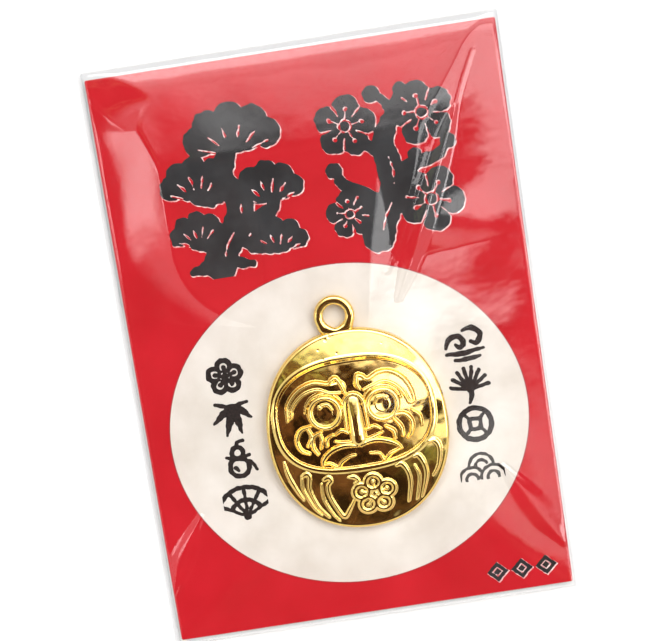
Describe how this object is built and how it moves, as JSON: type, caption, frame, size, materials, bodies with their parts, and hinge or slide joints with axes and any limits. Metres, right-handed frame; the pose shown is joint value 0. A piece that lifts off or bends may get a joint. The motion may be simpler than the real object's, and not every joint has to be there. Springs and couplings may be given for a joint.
{
  "type": "daruma charm on a backing card",
  "caption": "Small gold relief charm with a hanging ring, stuck to a printed card that slides in a clear film sleeve with a folding adhesive flap.",
  "frame": {"origin": "on the surface that the sleeve lies on, under the middle of the closed sleeve", "axes": "+Y up the card to the sleeve's mouth, +Z out of the card's face, +X to the card's right"},
  "size_m": [0.0538, 0.0758, 0.0041],
  "materials": {
    "gold_plate": "polished gold plate",
    "glue": "soft translucent glue",
    "printed_card": "smooth red print",
    "pale_print": "satin pale print",
    "dark_foil": "dark stamped foil",
    "clear_film": "clear gloss film",
    "adhesive": "clear tacky strip"
  },
  "bodies": {
    "sleeve": {"sleeve_back": "clear_film", "side_welds": "clear_film", "sleeve_front": "clear_film"},
    "card": {"backing_card": "printed_card", "glue_dot": "glue", "charm_casting": "gold_plate", "hanging_ring": "gold_plate"},
    "flap": {"sleeve_flap": "clear_film", "adhesive_strip": "adhesive"}
  },
  "joints": [
    {"name": "card_slide", "type": "slide", "parent": "sleeve", "child": "card", "axis": [0, 1, 0], "range_m": [0, 0.078], "deforming": ["sleeve_front"]},
    {"name": "flap_hinge", "type": "hinge", "parent": "sleeve", "child": "flap", "pos_m": [0, 0.03779, 0.00011], "axis": [1, 0, 0], "range_deg": [0, 180]}
  ]
}
